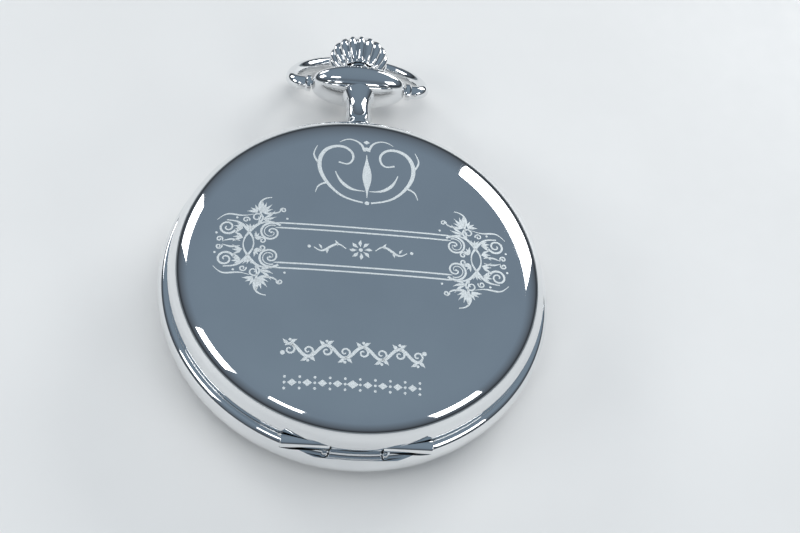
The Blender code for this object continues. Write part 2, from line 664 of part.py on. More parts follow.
def make_motor_and_circuit(rotor):
    """Stator, coil, circuit board, quartz can, chip, battery and its clamp."""
    frame = [(-1.0, -4.5), (9.0, -4.5), (9.0, -2.3), (-1.0, -2.3)]
    plate("stator", frame, [shifted(circle(0.86, 16), rotor)], 3.76, 4.1, "spring_steel")
    core = [(-1.0, -3.4), (-1.0, -7.8), (9.0, -7.8), (9.0, -3.0), (7.9, -3.0), (7.9, -7.0),
            (0.2, -7.0), (0.2, -3.4)]
    plate("coil_core", core, [], 3.3, 3.7, "spring_steel")
    tube("coil", 1.15, 0.55, 0.7, 7.4, "copper_wire",
         lambda flat, x: place_x(flat, x, (-7.4, 3.5)))
    board = [(5.2, -1.8), (11.2, -1.8), (11.2, 3.5), (8.6, 7.6), (3.2, 8.6), (3.2, 4.4),
             (5.2, 3.4)]
    plate("circuit_board", board, [], 2.35, 2.65, "board_green")
    rod("quartz_can", [(0.75, -0.6), (0.75, 4.6)], "battery_can",
        lambda flat, y: [(a + 8.9, y, b + 3.5) for a, b in flat], segments=12)
    block("control_chip", (4.6, 5.0, 2.72), (6.6, 7.0, 3.4), "chip_black")
    x, y = BATTERY_XY
    can = [(0, 4.88), (BATTERY_R - 0.15, 4.88), (BATTERY_R, 4.7), (BATTERY_R, 2.6),
           (BATTERY_R - 0.4, 2.28), (0, 2.28)]
    turned("battery", can, "battery_can", segments=24, centre=(x, y))
    strap = [(-10.2, y - 1.0), (-2.6, y - 1.0), (-0.9, y - 0.4), (-0.9, y + 1.4), (-10.2, y + 1.0)]
    plate("battery_clamp", strap, [shifted(circle(0.37, 12), PILLARS["clamp_screw"][0])],
          1.95, 2.18, "spring_steel")
    lever = [(-3.6, 7.6), (-0.55, 8.0), (-0.55, 8.5), (-2.4, 8.6), (-3.6, 8.4)]
    plate("setting_lever", lever, [], 5.8, 6.15, "spring_steel")


def main():
    """Build every piece of the watch."""
    clear_scene()
    make_case_band()
    make_front_lid()
    make_back_cover()
    make_hinge_and_springs()
    make_bezel_and_crystal()
    make_dial_and_hands()
    make_pendant()
    make_crown()
    make_stem()
    make_bow()
    make_plates()
    make_screws()
    make_motion_works()
    rotor = make_train()
    make_motor_and_circuit(rotor)


main()
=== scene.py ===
import json
import math

import bmesh
import bpy
import numpy as np
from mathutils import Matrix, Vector


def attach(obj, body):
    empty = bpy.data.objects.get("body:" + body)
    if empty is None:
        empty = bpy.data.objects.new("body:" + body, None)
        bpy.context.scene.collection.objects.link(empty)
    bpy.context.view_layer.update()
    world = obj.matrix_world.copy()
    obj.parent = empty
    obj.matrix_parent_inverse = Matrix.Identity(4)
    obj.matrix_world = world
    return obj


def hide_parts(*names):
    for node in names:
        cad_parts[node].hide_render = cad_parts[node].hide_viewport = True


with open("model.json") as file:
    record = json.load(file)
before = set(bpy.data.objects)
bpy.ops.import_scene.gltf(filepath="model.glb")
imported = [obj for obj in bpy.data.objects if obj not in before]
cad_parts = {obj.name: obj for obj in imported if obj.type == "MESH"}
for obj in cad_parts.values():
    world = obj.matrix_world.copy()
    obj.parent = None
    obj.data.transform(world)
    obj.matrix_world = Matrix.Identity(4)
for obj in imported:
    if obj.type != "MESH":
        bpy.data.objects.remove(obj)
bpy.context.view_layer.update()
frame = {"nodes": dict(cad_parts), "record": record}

MM = 0.001

# Every size below is in millimetres, in the frame of the CAD model: the watch lies on
# its back, +Z points out of the front lid and +Y points at the crown.

# ---- Case and lid -------------------------------------------------------------
CASE_R = 23.5
BAND_LOW_Z = 3.3
BAND_TOP_Z = 7.85
BAND_INNER_R = 21.9
FLANGE_R = 20.4
FLANGE_LOW_Z = 7.15
LID_R = 22.4
LID_LOW_Z = 8.0
LID_TOP_Z = 13.7
LID_WALL = 0.6
LID_RELIEF_GAP = 0.15
BEZEL_R = 20.3
CRYSTAL_R = 18.9
CRYSTAL_PLAY = 0.08      # between the crystal and its seat in the bezel
DIAL_R = 20.2
DIAL_Z = (6.75, 7.1)
DIAL_BORE_R = 1.35
TRACK_OUTER_R = (17.9, 18.02)
TRACK_INNER_R = (16.35, 16.45)
HOUR_MARK = (1.3, 0.16)  # length and half width
MINUTE_MARK = (0.7, 0.07)
PRINT_HALF = 0.02        # half the thickness of the dial's print
NUMBER_R = 13.8
NUMBER_SIZE = 3.6
NUMBER_LIFT = 0.005      # the numbers stand a little higher than the tracks
HOUR_HAND_Z = (7.3, 7.48)
MINUTE_HAND_Z = (7.75, 7.92)
SECOND_HAND_Z = (8.15, 8.28)
HOUR_CLOCK_DEG = -60
MINUTE_CLOCK_DEG = 60
SECOND_CLOCK_DEG = 180
BACK_LAND_R = 14.0
EDGE_ROUND = 0.16        # small radius on every turned edge

# ---- Lid hinge ----------------------------------------------------------------
HINGE_Y = -21.4
HINGE_Z = 7.75
KNUCKLE_R = 0.82
KNUCKLE_GAP = 0.2
HINGE_HALF = 8.35
LID_KNUCKLE_HALF = 2.75
CASE_KNUCKLE_START = 2.95
LID_ROOM_INNER = 2.8     # the lid's room for a case knuckle starts here
LID_ROOM_OUTER = 8.6     # and ends here
CHAMFER_HALF = 6.0       # half the length of the cut-back behind the hinge
PIN_BORE_R = 0.38

# ---- Pendant, crown and bow ---------------------------------------------------
STEM_Z = 6.0
BULB_Y = 32.6
BULB_HALF = (6.5, 2.1, 3.6)
BULB_END_X = 6.35
BULB_FULLNESS = 0.425    # 0.5 for an ellipse, less for blunter ends
PENDANT_SEAT_R = 23.62
STEM_BORE_R = 0.85
STEM_ROOM_Y = (21.0, 36.5)   # the stem's bore is cut between these
SHANK_R = 1.25
SHANK_START_Y = 21.95
SHANK_END_Y = 26.0
SHANK_PLAY = 0.05
LATCH_SLOT_HALF = 1.85
NECK_ROOT_Y = 22.4
PIVOT_BORE_R = 0.56
PIVOT_BORE_X = (5.2, 7.0)
TUBE_R = 1.5
TUBE_END_Y = 34.95
CROWN_FLUTES = 18
CROWN_FLUTE_DEPTH = 0.62
CROWN_BASE_Y = 35.2
CROWN_TIP_Y = 39.9
CROWN_CAVITY_R = 1.75
CROWN_CAVITY_END_Y = 36.4
CROWN_STEM_R = 0.52
CROWN_STEM_END_Y = 38.2
FLUTE_FADE_Y = 34.9      # the flutes would vanish here
FLUTE_FADE_LENGTH = 0.9
FLUTE_FULL_R = 3.4       # the flutes have their full depth from this radius on
FLUTE_SHAPE = 0.7        # below 1 for round lobes with narrow grooves
BOW_RING_R = 9.1
BOW_RING_S = 1.5
BOW_WIRE_R = 0.9
BOW_BOSS_R = 1.15
BOW_BOSS_X = (6.55, 7.2)
BOW_PIN_R = 0.5
BOW_PIN_TIP_X = 5.4
BOW_REST_DEG = -28.0

# ---- Engraving on the lid -----------------------------------------------------
ENGRAVING_PROUD = 0.012  # how far the frosted strokes stand out of the polish
ENGRAVING_ROOT = 0.06    # how far they reach down into the lid
FRAME_LINES_Y = (2.42, 3.12)
FRAME_LINE_X = 10.3
LINE_WIDTH = 0.2
FLOURISH_PLACE = (0.3, 12.0)
FLOURISH_SCALE = 0.98
ROSETTE_PLACE = (-0.4, 0)
BORDER_PLACE = (-1.0, -13.35)
WAVE_HEIGHT = 0.72
DOT_ROW_PLACE = (-1.1, -17.1)
LOZENGE_PITCH = 1.62
SPIRAL_STEPS = 40
EYE_SHARE = 0.12         # radius of a scroll's eye against its rim

TURN_STEPS = 288
DIAL_TURN_STEPS = 192
PENDANT_TURN_STEPS = 96
SMALL_TURN_STEPS = 64
HUB_STEPS = 48
HAND_BORE_STEPS = 32
PIVOT_STEPS = 48
WIRE_STEPS = 40
FLUTE_STEPS = 16
BULB_SLICES = 72


# ---- Curves and outlines ------------------------------------------------------
def smooth_path(knots, step=0.3, start=None, end=None):
    """Close points on the cubic spline through the knots; start and end are tangents."""
    knots = np.array(knots, float)
    chord = np.linalg.norm(np.diff(knots, axis=0), axis=1)
    count = len(knots)
    matrix = np.zeros((count, count))
    right = np.zeros_like(knots)
    for k in range(1, count - 1):
        before, after = chord[k - 1], chord[k]
        matrix[k, k - 1:k + 2] = 1 / before, 2 / before + 2 / after, 1 / after
        right[k] = 3 * ((knots[k] - knots[k - 1]) / before ** 2
                        + (knots[k + 1] - knots[k]) / after ** 2)
    matrix[0, :2] = (2, 1) if start is None else (1, 0)
    right[0] = 3 * (knots[1] - knots[0]) / chord[0] if start is None else start
    matrix[-1, -2:] = (1, 2) if end is None else (0, 1)
    right[-1] = 3 * (knots[-1] - knots[-2]) / chord[-1] if end is None else end
    slopes = np.linalg.solve(matrix, right)
    path = []
    for k in range(count - 1):
        pieces = max(2, math.ceil(chord[k] / step))
        for u in np.arange(pieces) / pieces:
            path.append((2 * u ** 3 - 3 * u ** 2 + 1) * knots[k]
                        + (u ** 3 - 2 * u ** 2 + u) * chord[k] * slopes[k]
                        + (3 * u ** 2 - 2 * u ** 3) * knots[k + 1]
                        + (u ** 3 - u ** 2) * chord[k] * slopes[k + 1])
    path.append(knots[-1])
    return [tuple(float(v) for v in p) for p in path]


def round_corners(loop, radius=EDGE_ROUND, steps=5, closed=True):
    """Replace the sharp corners of an outline by small arcs."""
    rounded = []
    count = len(loop)
    for k, point in enumerate(loop):
        here = Vector(point)
        into = here - Vector(loop[k - 1])
        out = Vector(loop[(k + 1) % count]) - here
        at_end = not closed and k in (0, count - 1)
        if at_end or into.length < 1e-6 or out.length < 1e-6 or into.angle(out) < math.radians(24):
            rounded.append(point)
            continue
        reach = min(radius, 0.45 * into.length, 0.45 * out.length)
        first = here - into.normalized() * reach
        last = here + out.normalized() * reach
        for i in range(steps + 1):
            u = i / steps
            rounded.append(tuple(first * (1 - u) ** 2 + here * 2 * u * (1 - u) + last * u ** 2))
    return rounded


def polar(distance, angle, centre=(0.0, 0.0)):
    """The point at a distance and angle from a centre."""
    return (centre[0] + distance * math.cos(angle), centre[1] + distance * math.sin(angle))


def circle(radius, count):
    """Points of a circle in its own plane."""
    return [polar(radius, 2 * math.pi * k / count) for k in range(count)]


def spun(flat, angle):
    """Plane points turned about the centre."""
    return [(x * math.cos(angle) - y * math.sin(angle), x * math.sin(angle) + y * math.cos(angle))
            for x, y in flat]


def on_z(flat, z):
    """Plane points laid at height z."""
    return [(x, y, z) for x, y in flat]


def on_y(flat, y):
    """Plane points stood across the stem axis at distance y."""
    return [(a, y, b + STEM_Z) for a, b in flat]


def on_hinge(flat, x):
    """Plane points stood across the hinge axis at place x."""
    return [(x, a + HINGE_Y, b + HINGE_Z) for a, b in flat]


# ---- Meshes ---------------------------------------------------------------------
def shade(mesh, angle=32):
    """Smooth shading with true edges kept sharp."""
    mesh.shade_smooth()
    mesh.set_sharp_from_angle(angle=math.radians(angle))


def body(name, points, faces, finish=None, angle=32):
    """A mesh object from points in millimetres."""
    mesh = bpy.data.meshes.new(name)
    mesh.from_pydata([Vector(p) * MM for p in points], [], faces)
    bm = bmesh.new()
    bm.from_mesh(mesh)
    bmesh.ops.remove_doubles(bm, verts=bm.verts, dist=1e-8)
    bmesh.ops.recalc_face_normals(bm, faces=bm.faces)
    bm.to_mesh(mesh)
    bm.free()
    shade(mesh, angle)
    obj = bpy.data.objects.new(name, mesh)
    bpy.context.scene.collection.objects.link(obj)
    if finish:
        mesh.materials.append(FINISHES[finish])
    return obj


def loft(rings, closed=False):
    """Points and faces through rings of the same number of points; open ends get caps."""
    count = len(rings[0])
    points = [p for ring in rings for p in ring]
    faces = []
    for k in range(len(rings) if closed else len(rings) - 1):
        near, far = k * count, (k + 1) % len(rings) * count
        for i in range(count):
            j = (i + 1) % count
            faces.append((near + i, near + j, far + j, far + i))
    if not closed:
        faces.append(tuple(range(count)))
        faces.append(tuple(range(len(points) - count, len(points))))
    return points, faces


def turned(name, profile, finish=None, place=on_z, steps=TURN_STEPS, closed=True):
    """Turn a (radius, along) outline about an axis."""
    rings = [place(circle(radius, steps), along) for radius, along in profile]
    points, faces = loft(rings, closed)
    if not closed:
        faces = faces[:-2]
    return body(name, points, faces, finish)


def carve(obj, *tools):
    """Cut tool bodies from a piece and remove the tools."""
    for tool in tools:
        mod = obj.modifiers.new("carve", "BOOLEAN")
        mod.operation = "DIFFERENCE"
        mod.solver = "EXACT"
        mod.object = tool
    graph = bpy.context.evaluated_depsgraph_get()
    mesh = bpy.data.meshes.new_from_object(obj.evaluated_get(graph))
    obj.modifiers.clear()
    obj.data = mesh
    shade(mesh)
    for tool in tools:
        bpy.data.objects.remove(tool, do_unlink=True)


def rod(name, radius, start, end, place, steps=SMALL_TURN_STEPS):
    """A plain round tool between two places along an axis."""
    rings = [place(circle(radius, steps), along) for along in (start, end)]
    return body(name, *loft(rings))


def prism(name, outline, x_from, x_to):
    """A tool with a (y, z) outline between two places along X."""
    rings = [[(x, y, z) for y, z in outline] for x in (x_from, x_to)]
    return body(name, *loft(rings))


def fit(obj, body_name, *nodes):
    """Let a piece ride on a CAD body and stand for CAD nodes."""
    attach(obj, body_name)
    if nodes:
        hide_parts(*nodes)


# ---- Materials --------------------------------------------------------------------
class Shader:
    """A Principled material that is built up from texture nodes."""

    def __init__(self, name, metallic=0.0, **sockets):
        self.mat = bpy.data.materials.new(name)
        self.mat.use_nodes = True
        self.tree = self.mat.node_tree
        self.main = self.tree.nodes["Principled BSDF"]
        self.main.inputs["Metallic"].default_value = metallic
        for socket, value in sockets.items():
            self.main.inputs[socket.replace("_", " ")].default_value = value
        self.coords = self.tree.nodes.new("ShaderNodeTexCoord").outputs["Object"]

    def link(self, source, target):
        self.tree.links.new(source, target)

    def noise(self, scale, detail=3.0, stretch=(1, 1, 1)):
        """Noise in object space; scale is in cycles per metre."""
        mapping = self.tree.nodes.new("ShaderNodeMapping")
        mapping.inputs["Scale"].default_value = stretch
        node = self.tree.nodes.new("ShaderNodeTexNoise")
        node.inputs["Scale"].default_value = scale
        node.inputs["Detail"].default_value = detail
        self.link(self.coords, mapping.inputs["Vector"])
        self.link(mapping.outputs["Vector"], node.inputs["Vector"])
        return node.outputs["Fac"]

    def rings(self, scale, direction="Z", kind="RINGS"):
        """Fine turning marks about an axis, or bands across it."""
        node = self.tree.nodes.new("ShaderNodeTexWave")
        node.wave_type = kind
        setattr(node, "rings_direction" if kind == "RINGS" else "bands_direction", direction)
        node.inputs["Scale"].default_value = scale
        node.inputs["Distortion"].default_value = 0.6
        node.inputs["Detail"].default_value = 2.0
        self.link(self.coords, node.inputs["Vector"])
        return node.outputs["Fac"]

    def span(self, source, low, high):
        """Map a texture of about 0.3 to 0.7 onto a range of values."""
        node = self.tree.nodes.new("ShaderNodeMapRange")
        node.inputs["From Min"].default_value = 0.3
        node.inputs["From Max"].default_value = 0.7
        node.inputs["To Min"].default_value = low
        node.inputs["To Max"].default_value = high
        self.link(source, node.inputs["Value"])
        return node.outputs["Result"]

    def colour(self, source, dark, light):
        """Colour that varies between two tones."""
        node = self.tree.nodes.new("ShaderNodeValToRGB")
        node.color_ramp.elements[0].position = 0.3
        node.color_ramp.elements[0].color = (*dark, 1)
        node.color_ramp.elements[1].position = 0.7
        node.color_ramp.elements[1].color = (*light, 1)
        self.link(source, node.inputs["Fac"])
        self.link(node.outputs["Color"], self.main.inputs["Base Color"])

    def roughness(self, source, low, high):
        self.link(self.span(source, low, high), self.main.inputs["Roughness"])

    def bump(self, source, depth):
        """Surface relief; depth is in metres."""
        node = self.tree.nodes.new("ShaderNodeBump")
        node.inputs["Distance"].default_value = depth
        self.link(source, node.inputs["Height"])
        self.link(node.outputs["Normal"], self.main.inputs["Normal"])


def chrome():
    """Mirror plate with the faint haze of handling."""
    s = Shader("chrome_plate", metallic=1.0)
    s.colour(s.noise(90), (0.80, 0.81, 0.82), (0.86, 0.87, 0.875))
    s.roughness(s.noise(260, 5.0), 0.015, 0.055)
    return s.mat


def engraving():
    """Frosted metal of a laser-marked line."""
    s = Shader("frosted_engraving", metallic=0.25)
    s.colour(s.noise(9000, 4.0), (0.52, 0.56, 0.57), (0.84, 0.88, 0.88))
    s.roughness(s.noise(5000, 3.0), 0.42, 0.62)
    s.bump(s.noise(14000, 4.0), 8e-6)
    return s.mat


def steel(name, dark, light, rough):
    """Ground steel with a fine grain that runs along X."""
    s = Shader(name, metallic=1.0)
    s.colour(s.noise(400, 4.0), dark, light)
    grain = s.noise(900, 4.0, stretch=(1, 14, 1))
    s.roughness(grain, rough * 0.7, rough * 1.3)
    s.bump(grain, 3e-6)
    return s.mat


def brass():
    """Brass plate with turning marks and slight tarnish."""
    s = Shader("movement_brass", metallic=1.0)
    s.colour(s.noise(300, 5.0), (0.62, 0.43, 0.16), (0.84, 0.64, 0.30))
    s.roughness(s.rings(700), 0.2, 0.34)
    s.bump(s.rings(700), 3e-6)
    return s.mat


def enamel(name, dark, light, rough, grain=2500, depth=2e-6):
    """Paint or lacquer with a little orange peel."""
    s = Shader(name)
    s.colour(s.noise(350, 4.0), dark, light)
    s.roughness(s.noise(grain), rough * 0.8, rough * 1.2)
    s.bump(s.noise(grain), depth)
    return s.mat


def moulded(name, dark, light, rough):
    """Moulded plastic with a fine matt texture."""
    s = Shader(name)
    s.colour(s.noise(600, 5.0), dark, light)
    s.roughness(s.noise(3000), rough * 0.85, rough * 1.15)
    s.bump(s.noise(6000), 5e-6)
    return s.mat


def windings():
    """Copper wire laid turn by turn across the coil."""
    s = Shader("wound_copper", metallic=1.0)
    s.colour(s.noise(900, 4.0), (0.48, 0.18, 0.07), (0.74, 0.34, 0.16))
    turns = s.rings(2600, "X", "BANDS")
    s.roughness(turns, 0.25, 0.45)
    s.bump(turns, 2e-5)
    return s.mat


def crystal():
    """Clear mineral glass with a trace of wipe marks."""
    s = Shader("crystal_glass", Transmission_Weight=1.0, IOR=1.5)
    s.colour(s.noise(60), (0.95, 0.97, 0.97), (0.99, 1.0, 1.0))
    s.roughness(s.noise(120, 5.0), 0.0, 0.02)
    return s.mat


def floor_paint():
    """Pale matt table."""
    s = Shader("pale_floor")
    s.colour(s.noise(30, 4.0), (0.74, 0.735, 0.72), (0.77, 0.765, 0.75))
    s.roughness(s.noise(400), 0.55, 0.7)
    return s.mat


FINISHES = {
    "chrome": chrome(),
    "engraving": engraving(),
    "polished_steel": steel("polished_steel", (0.55, 0.56, 0.58), (0.70, 0.71, 0.73), 0.16),
    "spring_steel": steel("spring_steel", (0.36, 0.38, 0.42), (0.50, 0.52, 0.56), 0.28),
    "brass": brass(),
    "dial_white": enamel("dial_enamel", (0.82, 0.81, 0.76), (0.87, 0.86, 0.82), 0.4),
    "dial_print": enamel("dial_print", (0.015, 0.015, 0.02), (0.03, 0.03, 0.035), 0.5),
    "hand_black": enamel("hand_lacquer", (0.012, 0.014, 0.03), (0.03, 0.035, 0.06), 0.2),
    "crystal_clear": crystal(),
    "holder_plastic": moulded("holder_plastic", (0.72, 0.71, 0.66), (0.80, 0.79, 0.75), 0.5),
    "board_green": moulded("circuit_board", (0.02, 0.13, 0.06), (0.05, 0.22, 0.11), 0.42),
    "copper_wire": windings(),
    "magnet_black": moulded("magnet_black", (0.02, 0.02, 0.022), (0.045, 0.045, 0.05), 0.5),
    "battery_can": steel("battery_can", (0.56, 0.56, 0.53), (0.70, 0.70, 0.68), 0.3),
}


# ---- Lid ----------------------------------------------------------------------------
LID_OUTER = smooth_path([(0, LID_TOP_Z), (9.0, 13.58), (15.0, 13.27), (19.0, 12.8),
                         (20.9, 12.0), (22.0, 10.7), (22.36, 9.3), (LID_R, LID_LOW_Z)],
                        start=(1, 0), end=(0, -1))
DOME = [p for p in LID_OUTER if p[1] > 11.5]    # the part that carries the engraving
LID_INNER = smooth_path([(LID_R - LID_WALL, LID_LOW_Z), (21.73, 9.3), (21.3, 10.5),
                         (20.3, 11.55), (18.6, 12.2), (14.8, 12.67), (0, 13.1)],
                        start=(0, 1), end=(-1, 0))


def lid_height(x, y):
    """Height of the lid's outer dome above a point."""
    return float(np.interp(math.hypot(x, y), [p[0] for p in DOME], [p[1] for p in DOME]))


def knuckle_room(start, end):
    """The tool that makes room in one leaf for the other leaf's knuckle."""
    return rod("room", KNUCKLE_R + KNUCKLE_GAP, start, end, on_hinge)


def knuckle(name, start, end):
    """A hollow hinge knuckle with softened ends."""
    ring = [(PIN_BORE_R, start), (PIN_BORE_R, end), (KNUCKLE_R, end), (KNUCKLE_R, start)]
    return turned(name, round_corners(ring, 0.12), "chrome", on_hinge, SMALL_TURN_STEPS)


def make_lid():
    """The polished domed cover and its knuckle."""
    profile = round_corners(LID_OUTER + LID_INNER, closed=False)
    lid = turned("front_lid_shell", profile, "chrome", closed=False)
    carve(lid, knuckle_room(-LID_ROOM_OUTER, -LID_ROOM_INNER),
          knuckle_room(LID_ROOM_INNER, LID_ROOM_OUTER),
          rod("pin_room", PIN_BORE_R, -LID_ROOM_INNER, LID_ROOM_INNER, on_hinge))
    fit(lid, "lid", "front_lid")
    fit(knuckle("lid_knuckle", -LID_KNUCKLE_HALF, LID_KNUCKLE_HALF), "lid")


# ---- Case ---------------------------------------------------------------------------
def make_band():
    """The bulging ring round the case, with its hinge knuckles."""
    outer = smooth_path([(22.8, BAND_TOP_Z), (23.15, 7.55), (23.45, 6.9), (CASE_R, 6.2),
                         (23.4, 5.0), (23.05, 3.85), (22.7, BAND_LOW_Z)])
    inner = [(BAND_INNER_R, BAND_LOW_Z), (BAND_INNER_R, FLANGE_LOW_Z),
             (FLANGE_R, FLANGE_LOW_Z), (FLANGE_R, BAND_TOP_Z)]
    band = turned("case_band_shell", round_corners(outer + inner), "chrome")
    relief_r = LID_R + LID_RELIEF_GAP
    opened_lid_z = HINGE_Z - HINGE_Y
    relief = [[(a, y, b + opened_lid_z) for a, b in circle(relief_r, TURN_STEPS)]
              for y in (-CASE_R - 2.5, HINGE_Y - 0.1)]
    chamfer = [(-24.2, 7.6), (-24.2, 5.0), (-23.52, 5.3), (-22.95, 6.5), (-22.95, 7.6)]
    shank = rod("shank_room", SHANK_R + SHANK_PLAY, FLANGE_R + 0.1, CASE_R + 1.5, on_y)
    slot = [(19.5, 7.0), (21.85, 7.0), (21.85, 8.4), (19.5, 8.4)]
    carve(band, body("relief", *loft(relief)),
          prism("chamfer", chamfer, -CHAMFER_HALF, CHAMFER_HALF),
          knuckle_room(-HINGE_HALF, HINGE_HALF), shank,
          prism("latch_slot", slot, -LATCH_SLOT_HALF, LATCH_SLOT_HALF))
    fit(band, "case", "case_band")
    fit(knuckle("case_knuckle_left", -HINGE_HALF, -CASE_KNUCKLE_START), "case")
    fit(knuckle("case_knuckle_right", CASE_KNUCKLE_START, HINGE_HALF), "case")


def make_back():
    """The snap-on back with its flat land."""
    outer = smooth_path([(22.62, 3.1), (22.2, 2.1), (20.6, 1.05), (17.6, 0.35), (BACK_LAND_R, 0.0)],
                        end=(-1, 0))
    inner = smooth_path([(BACK_LAND_R, 0.7), (18.6, 1.25), (20.9, 2.3)], start=(1, 0))
    lip = [(21.15, 4.3), (21.6, 4.3), (21.78, 3.12)]
    profile = [(0, 0.7)] + inner + lip + outer + [(0, 0.0)]
    fit(turned("back_cover_shell", round_corners(profile, closed=False), "chrome", closed=False),
        "case", "back_cover")


def make_bezel_and_crystal():
    """The ring inside the lid and the domed crystal."""
    ring = [(BEZEL_R, 8.9), (BEZEL_R, 7.22), (18.6, 7.22), (18.3, 8.4),
            (CRYSTAL_R + CRYSTAL_PLAY, 8.42), (CRYSTAL_R + CRYSTAL_PLAY, 9.2), (19.6, 9.4)]
    fit(turned("bezel_ring_shell", round_corners(ring), "polished_steel"), "case", "bezel_ring")
    top = smooth_path([(0, 10.9), (9.0, 10.72), (15.0, 10.15), (CRYSTAL_R, 9.1)], start=(1, 0))
    under = smooth_path([(18.0, 8.5), (15.0, 9.4), (9.0, 10.0), (0, 10.2)], end=(-1, 0))
    glass = round_corners(top + [(CRYSTAL_R, 8.5)] + under, 0.1, closed=False)
    fit(turned("crystal_dome", glass, "crystal_clear", closed=False), "case", "crystal")


# ---- Engraved ornament ----------------------------------------------------------------
def spiral(centre, radius, start_deg, turns):
    """A scroll from its rim to its eye; negative turns run clockwise."""
    path = []
    for u in np.arange(SPIRAL_STEPS + 1) / SPIRAL_STEPS:
        angle = math.radians(start_deg) + 2 * math.pi * turns * u
        path.append(polar(radius * ((1 - u) ** 0.8 + EYE_SHARE * u), angle, centre))
    return path


def curve(*knots):
    """A smooth stroke through a few points."""
    return smooth_path(knots, step=0.16)


def swell(thin, thick):
    """Stroke width that grows from thin ends to a thick middle."""
    return lambda u: thin + (thick - thin) * math.sin(math.pi * u) ** 2


def tail(thick, thin):
    """Stroke width that runs out to a point."""
    return lambda u: thin + (thick - thin) * (1 - u)


def even(width):
    """Stroke of one width with short round ends."""
    return lambda u: width * min(1.0, 0.35 + 22 * u, 0.35 + 22 * (1 - u))


def mirrored(strokes, flip_x=True, flip_y=False):
    """The strokes and their mirror images."""
    made = list(strokes)
    if flip_x:
        made += [([(-x, y) for x, y in path], width) for path, width in made]
    if flip_y:
        made += [([(x, -y) for x, y in path], width) for path, width in made]
    return made


def moved(strokes, dx, dy, scale=1.0):
    """The strokes at another place."""
    return [([(x * scale + dx, y * scale + dy) for x, y in path], width)
            for path, width in strokes]


def engraved(name, strokes):
    """Frosted strokes that follow the dome of the lid."""
    points, faces = [], []
    for path, width in strokes:
        first = len(points)
        last = len(path) - 1
        for k, (x, y) in enumerate(path):
            ahead = Vector(path[min(k + 1, last)]) - Vector(path[max(k - 1, 0)])
            side = Vector((-ahead.y, ahead.x)).normalized() * width(k / last) / 2
            for sign, height in ((1, ENGRAVING_PROUD), (-1, ENGRAVING_PROUD),
                                 (-1, -ENGRAVING_ROOT), (1, -ENGRAVING_ROOT)):
                px, py = x + sign * side.x, y + sign * side.y
                points.append((px, py, lid_height(px, py) + height))
        for k in range(last):
            near = first + 4 * k
            for i in range(4):
                j = (i + 1) % 4
                faces.append((near + i, near + j, near + 4 + j, near + 4 + i))
        end = first + 4 * last
        faces += [(first, first + 3, first + 2, first + 1), (end, end + 1, end + 2, end + 3)]
    fit(body(name, points, faces, "engraving"), "lid")


def leaf(x, y, angle_deg, length, width):
    """One pointed leaf as a short swelling stroke."""
    angle = math.radians(angle_deg)
    bend = polar(length * 0.5, angle + 0.18, (x, y))
    return curve((x, y), bend, polar(length, angle, (x, y))), swell(0.04, width)


def dot(x, y, radius):
    """A round dot: a very short stroke whose width follows a circle."""
    path = [(x - radius * math.cos(math.pi * k / 8), y) for k in range(9)]
    return path, lambda u: 2 * radius * math.sin(math.pi * min(max(u, 0.02), 0.98))


def diamond(x, y, half):
    """A small lozenge."""
    return [(x - half, y), (x, y), (x + half, y)], lambda u: 0.03 + 1.5 * half * (1 - abs(2 * u - 1))


def flourish_strokes():
    """The large ornament above the frame: a pair of facing scrolls round a tall leaf."""
    half = [
        (curve((0.5, -5.2), (2.6, -4.6), (4.9, -2.4), (5.9, 0.6), (4.9, 3.2), (2.9, 3.7),
               (1.7, 2.3), (2.3, 0.9), (3.5, 1.1)), swell(0.22, 0.5)),
        (curve((0.3, -3.4), (1.8, -3.2), (3.3, -1.9), (3.9, -0.5)), swell(0.12, 0.42)),
        (curve((5.9, 0.6), (6.6, 2.0), (6.2, 3.6)), tail(0.3, 0.08)),
        (curve((0.25, 3.2), (0.9, 4.6), (2.3, 5.1), (3.4, 4.5)), tail(0.34, 0.1)),
        (curve((4.9, -2.4), (5.9, -3.0), (6.3, -4.1)), tail(0.3, 0.08)),
    ]
    middle = [
        (curve((0, -4.4), (0.02, -1.0), (0, 2.6)), swell(0.1, 1.1)),
        dot(0, -5.25, 0.28), dot(0, 3.6, 0.3), diamond(0, 4.75, 0.42),
    ]
    return moved(mirrored(half) + middle, *FLOURISH_PLACE, FLOURISH_SCALE)


def fan(x, y, first_deg, last_deg, count, length, width):
    """Leaves that spread from one root, every second one a little shorter."""
    turn = (last_deg - first_deg) / (count - 1)
    return [leaf(x, y, first_deg + turn * k, length * (1 - 0.12 * (k % 2)), width)
            for k in range(count)]


